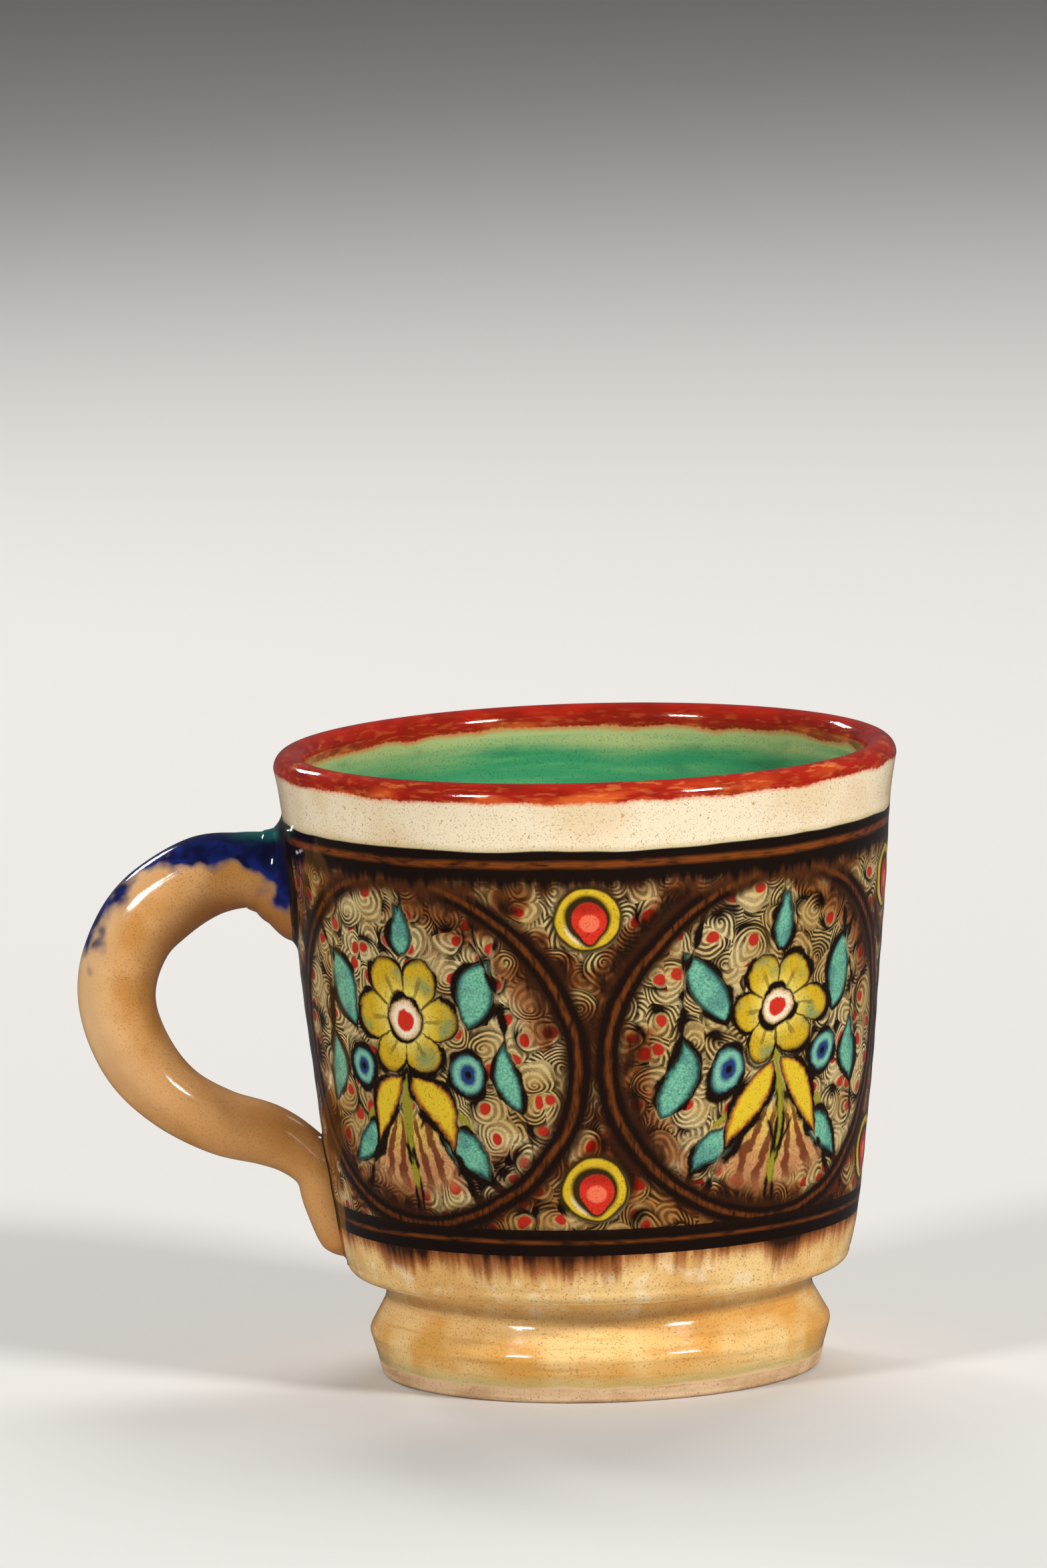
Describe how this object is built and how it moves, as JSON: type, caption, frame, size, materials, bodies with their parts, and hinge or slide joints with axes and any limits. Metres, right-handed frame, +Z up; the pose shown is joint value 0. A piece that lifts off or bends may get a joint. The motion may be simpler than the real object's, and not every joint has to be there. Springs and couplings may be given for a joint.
{
  "type": "mug",
  "caption": "Footed hand-thrown clay mug with a pulled loop handle, red lip, green inside, cream neck band and a dark painted band of round medallions.",
  "frame": {"origin": "centre of the foot on the table plane, on the axis of the thrown cup", "axes": "+Z up along the axis of the cup, -X towards the handle, -Y towards the viewer who sees a pair of medallions"},
  "size_m": [0.1218, 0.092, 0.093],
  "materials": {
    "red_clay": "fired clay body under the coats",
    "pale_clay": "bare pale fired clay",
    "tan_glaze": "glossy clear glaze over speckled tan clay",
    "joint_slip": "glossy dark brown seam",
    "green_glaze": "glossy copper green glaze",
    "red_glaze": "glossy brushed red glaze",
    "cream_slip": "glossy clear glaze over cream slip",
    "dark_paint": "glossy near-black brush stripe",
    "scroll_ground": "glossy painted scrollwork",
    "frame_paint": "glossy dark brown brush ring",
    "field_ground": "glossy painted field",
    "yellow_paint": "glossy yellow paint",
    "red_paint": "glossy orange-red paint",
    "honey_glaze": "glossy honey glaze with brushed brown fringe",
    "amber_glaze": "glossy amber glaze",
    "cobalt_glaze": "glossy cobalt blue glaze"
  },
  "bodies": {
    "root": {"cup": "red_clay", "foot_ring": "pale_clay", "handle": "tan_glaze", "upper_joint": "joint_slip", "lower_joint": "joint_slip", "liner_glaze": "green_glaze", "rim_glaze": "red_glaze", "slip_band": "cream_slip", "upper_border": "dark_paint", "painted_ground": "scroll_ground", "roundel_frames": "frame_paint", "roundel_fields": "field_ground", "rosette_discs": "yellow_paint", "rosette_hearts": "red_paint", "lower_border": "dark_paint", "lower_glaze": "honey_glaze", "foot_glaze": "amber_glaze", "cobalt_splash": "cobalt_glaze"}
  },
  "joints": []
}
